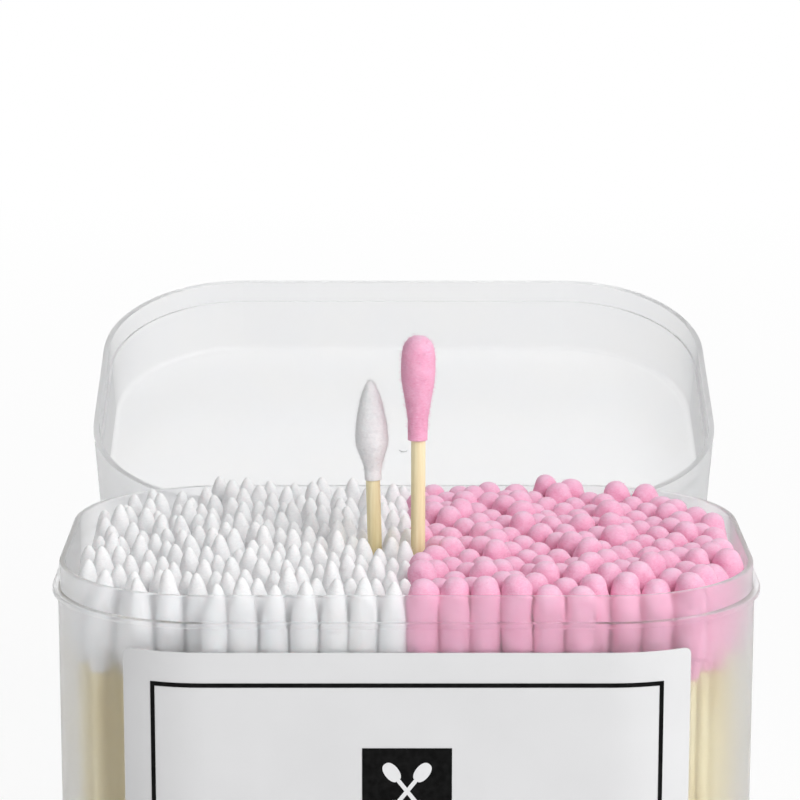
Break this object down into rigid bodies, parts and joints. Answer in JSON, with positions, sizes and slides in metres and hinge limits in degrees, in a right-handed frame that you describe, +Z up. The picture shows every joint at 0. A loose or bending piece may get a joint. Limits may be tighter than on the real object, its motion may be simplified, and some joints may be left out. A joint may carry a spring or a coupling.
{
  "type": "cotton swab box",
  "caption": "Open flip-lid box of frosted plastic packed with upright cotton swabs: white pointed tips on the left, pink round tips on the right, and one of each standing pulled up.",
  "frame": {"origin": "centre of the box's underside", "axes": "+Z up, -Y to the front with the label, +X to the right; the lid leans back over +Y"},
  "size_m": [0.1174, 0.1588, 0.1121],
  "materials": {
    "frosted_plastic": "frosted translucent polypropylene, satin",
    "label_paper": "smooth white paper sticker with a printed black frame",
    "bare_wood": "bare pale wood, fine grain",
    "cotton_white": "wound white cotton",
    "cotton_pink": "wound pink cotton"
  },
  "bodies": {
    "box": {"box_body": "frosted_plastic", "front_label": "label_paper", "pink_buds_row_01": "cotton_pink", "pink_buds_row_02": "cotton_pink", "pink_buds_row_03": "cotton_pink", "pink_buds_row_04": "cotton_pink", "pink_buds_row_05": "cotton_pink", "pink_buds_row_06": "cotton_pink", "pink_buds_row_07": "cotton_pink", "pink_buds_row_08": "cotton_pink", "pink_buds_row_09": "cotton_pink", "pink_buds_row_10": "cotton_pink", "pink_buds_row_11": "cotton_pink", "pink_buds_row_12": "cotton_pink", "pink_buds_row_13": "cotton_pink", "pink_buds_row_14": "cotton_pink", "pink_buds_row_15": "cotton_pink", "pink_buds_row_16": "cotton_pink", "raised_pink_lower_bud": "cotton_pink", "raised_pink_stick": "bare_wood", "raised_pink_top_bud": "cotton_pink", "raised_white_lower_bud": "cotton_white", "raised_white_stick": "bare_wood", "raised_white_top_bud": "cotton_white", "sticks_row_01": "bare_wood", "sticks_row_02": "bare_wood", "sticks_row_03": "bare_wood", "sticks_row_04": "bare_wood", "sticks_row_05": "bare_wood", "sticks_row_06": "bare_wood", "sticks_row_07": "bare_wood", "sticks_row_08": "bare_wood", "sticks_row_09": "bare_wood", "sticks_row_10": "bare_wood", "sticks_row_11": "bare_wood", "sticks_row_12": "bare_wood", "sticks_row_13": "bare_wood", "sticks_row_14": "bare_wood", "sticks_row_15": "bare_wood", "sticks_row_16": "bare_wood", "white_buds_row_01": "cotton_white", "white_buds_row_02": "cotton_white", "white_buds_row_03": "cotton_white", "white_buds_row_04": "cotton_white", "white_buds_row_05": "cotton_white", "white_buds_row_06": "cotton_white", "white_buds_row_07": "cotton_white", "white_buds_row_08": "cotton_white", "white_buds_row_09": "cotton_white", "white_buds_row_10": "cotton_white", "white_buds_row_11": "cotton_white", "white_buds_row_12": "cotton_white", "white_buds_row_13": "cotton_white", "white_buds_row_14": "cotton_white", "white_buds_row_15": "cotton_white", "white_buds_row_16": "cotton_white"},
    "lid": {"lid": "frosted_plastic"}
  },
  "joints": [
    {"name": "lid_hinge", "type": "hinge", "parent": "box", "child": "lid", "pos_m": [0, 0.0403, 0.0718], "axis": [-1, 0, 0], "range_deg": [-131, 21]}
  ]
}
